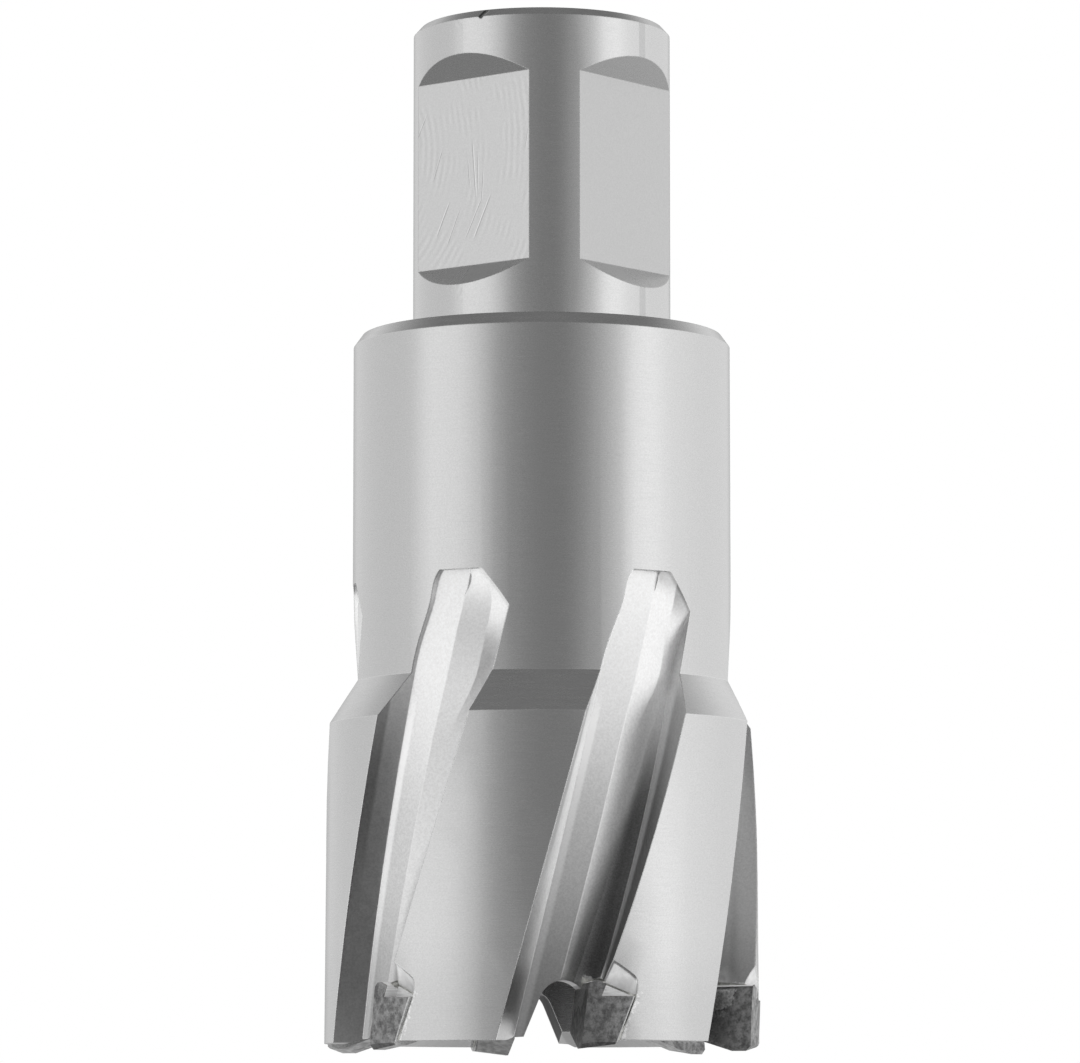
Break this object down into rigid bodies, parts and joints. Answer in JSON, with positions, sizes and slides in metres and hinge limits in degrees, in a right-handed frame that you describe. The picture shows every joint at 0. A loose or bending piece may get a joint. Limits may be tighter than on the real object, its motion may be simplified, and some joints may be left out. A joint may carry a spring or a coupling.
{
  "type": "annular cutter",
  "caption": "Annular cutter for broaching round holes in metal: round shank with two drive flats, hollow core, stepped helical flutes and brazed hard-metal tips.",
  "frame": {"origin": "on the axis, in the plane of the cutting tips' lowest corners", "axes": "+Z along the axis towards the shank end; -Y is the front, between the two drive flats"},
  "size_m": [0.0318, 0.0316, 0.0757],
  "materials": {
    "tool_steel": "satin ground, with milled flutes",
    "carbide": "fine ground, dark",
    "braze": "rough silver braze"
  },
  "bodies": {
    "root": {"cutter_body": "tool_steel", "carbide_tip_1": "carbide", "carbide_tip_2": "carbide", "carbide_tip_3": "carbide", "carbide_tip_4": "carbide", "carbide_tip_5": "carbide", "carbide_tip_6": "carbide", "braze_seam_1": "braze", "braze_seam_2": "braze", "braze_seam_3": "braze", "braze_seam_4": "braze", "braze_seam_5": "braze", "braze_seam_6": "braze"}
  },
  "joints": []
}
